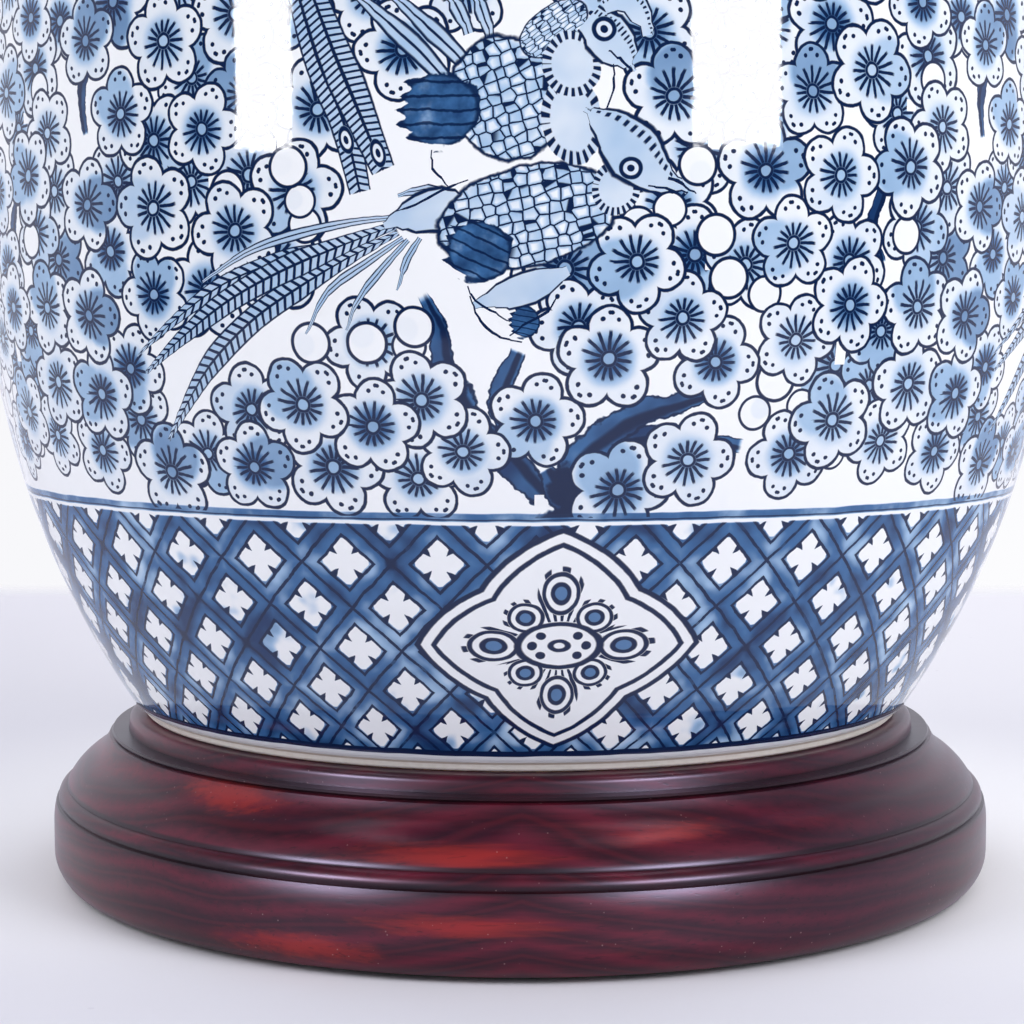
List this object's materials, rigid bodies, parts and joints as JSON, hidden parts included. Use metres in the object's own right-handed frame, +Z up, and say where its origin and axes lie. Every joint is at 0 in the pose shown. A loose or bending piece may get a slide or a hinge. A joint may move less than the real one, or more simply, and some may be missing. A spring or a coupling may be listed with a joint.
{
  "type": "ginger jar table lamp",
  "caption": "Table lamp with a rounded, lidded porcelain jar painted in blue on a turned wood base, with a brass socket, harp and empire shade.",
  "frame": {"origin": "centre of the felt pad's underside, on the table", "axes": "+Z up along the lamp's axis, front towards -Y with the switch knob, cord inlet at the rear towards +Y, harp legs on the X axis"},
  "size_m": [0.4079, 0.4078, 0.6617],
  "materials": {
    "felt": "wool felt, matt",
    "mahogany": "dark red mahogany stain under satin lacquer",
    "black_plastic": "moulded, matt",
    "zinc_steel": "zinc plated",
    "cork": "pressed cork",
    "porcelain": "white porcelain painted in blue under a clear glaze",
    "black_rubber": "matt",
    "polished_brass": "polished and lacquered",
    "card": "fibre insulating card",
    "phenolic": "dark moulded phenolic",
    "frosted_glass": "frosted inside",
    "nickel_cap": "bright rolled metal",
    "solder": "tinned contact",
    "linen": "off-white woven linen",
    "styrene": "white laminate backing",
    "white_wire": "white enamelled wire"
  },
  "bodies": {
    "root": {"felt_pad": "felt", "wood_base": "mahogany", "cord_bushing": "black_plastic", "base_washer": "zinc_steel", "base_locknut": "polished_brass", "jar_seat_ring": "cork", "jar_body": "porcelain", "jar_grommet": "black_rubber", "lid_gasket": "cork", "jar_lid": "porcelain", "lamp_pipe": "zinc_steel", "check_ring": "polished_brass", "brass_neck": "polished_brass", "neck_locknut": "polished_brass", "harp_saddle": "polished_brass", "socket_cap": "polished_brass", "cap_set_screw": "zinc_steel", "socket_shell": "polished_brass", "socket_insulator": "card", "switch_block": "phenolic", "terminal_screws": "polished_brass", "socket_screw_shell": "polished_brass", "centre_contact": "polished_brass"},
    "switch": {"switch_shaft": "zinc_steel", "switch_knob": "phenolic"},
    "bulb": {"bulb_screw_cap": "nickel_cap", "bulb_contact": "solder", "bulb_glass": "frosted_glass"},
    "harp": {"harp_wire": "polished_brass", "harp_stud": "polished_brass"},
    "sleeve_left": {"harp_sleeve_left": "polished_brass"},
    "sleeve_right": {"harp_sleeve_right": "polished_brass"},
    "shade": {"shade_panel": "linen", "shade_liner": "styrene", "shade_bottom_ring": "white_wire", "shade_spider": "white_wire", "shade_top_trim": "linen", "shade_bottom_trim": "linen"},
    "finial": {"finial_insert": "polished_brass", "finial_knob": "mahogany"}
  },
  "joints": [
    {"name": "knob_turn", "type": "hinge", "parent": "root", "child": "switch", "pos_m": [0, -0.02, 0.4325], "axis": [0, -1, 0], "continuous": true},
    {"name": "bulb_turn", "type": "hinge", "parent": "root", "child": "bulb", "pos_m": [0, 0, 0.454], "axis": [0, 0, 1], "continuous": true},
    {"name": "harp_lift", "type": "slide", "parent": "root", "child": "harp", "axis": [0, 0, 1], "range_m": [0, 0.03]},
    {"name": "sleeve_left_lift", "type": "slide", "parent": "harp", "child": "sleeve_left", "axis": [0, 0, 1], "range_m": [0, 0.012]},
    {"name": "sleeve_right_lift", "type": "slide", "parent": "harp", "child": "sleeve_right", "axis": [0, 0, 1], "range_m": [0, 0.012]},
    {"name": "shade_turn", "type": "hinge", "parent": "harp", "child": "shade", "pos_m": [0, 0, 0.621], "axis": [0, 0, 1], "continuous": true},
    {"name": "finial_turn", "type": "hinge", "parent": "harp", "child": "finial", "pos_m": [0, 0, 0.629], "axis": [0, 0, 1], "continuous": true}
  ]
}
